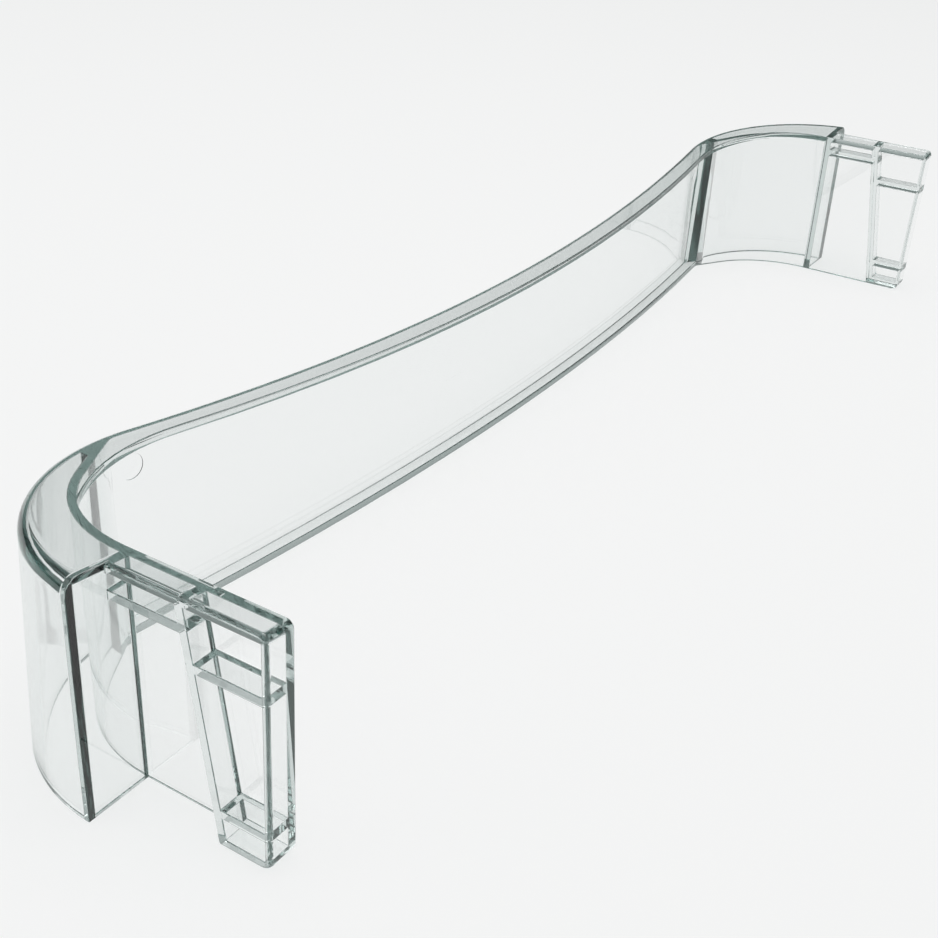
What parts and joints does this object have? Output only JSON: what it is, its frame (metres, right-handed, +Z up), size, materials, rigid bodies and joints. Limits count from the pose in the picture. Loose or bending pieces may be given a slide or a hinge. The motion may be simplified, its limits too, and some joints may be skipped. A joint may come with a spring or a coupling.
{
  "type": "refrigerator door bottle guard",
  "caption": "Clear one-piece guard for the bottle shelf of a refrigerator door, with hollow side arms and ribbed end plates that lock onto the door.",
  "frame": {"origin": "middle of the width, level with the bottom edge, in the plane of the two shoulders that meet the door", "axes": "+X along the door, +Y from the user towards the door, +Z up"},
  "size_m": [0.475, 0.0945, 0.0645],
  "materials": {
    "clear_plastic": "clear and polished, with a grey green tint at the edges"
  },
  "bodies": {
    "root": {"bottle_guard": "clear_plastic"}
  },
  "joints": []
}
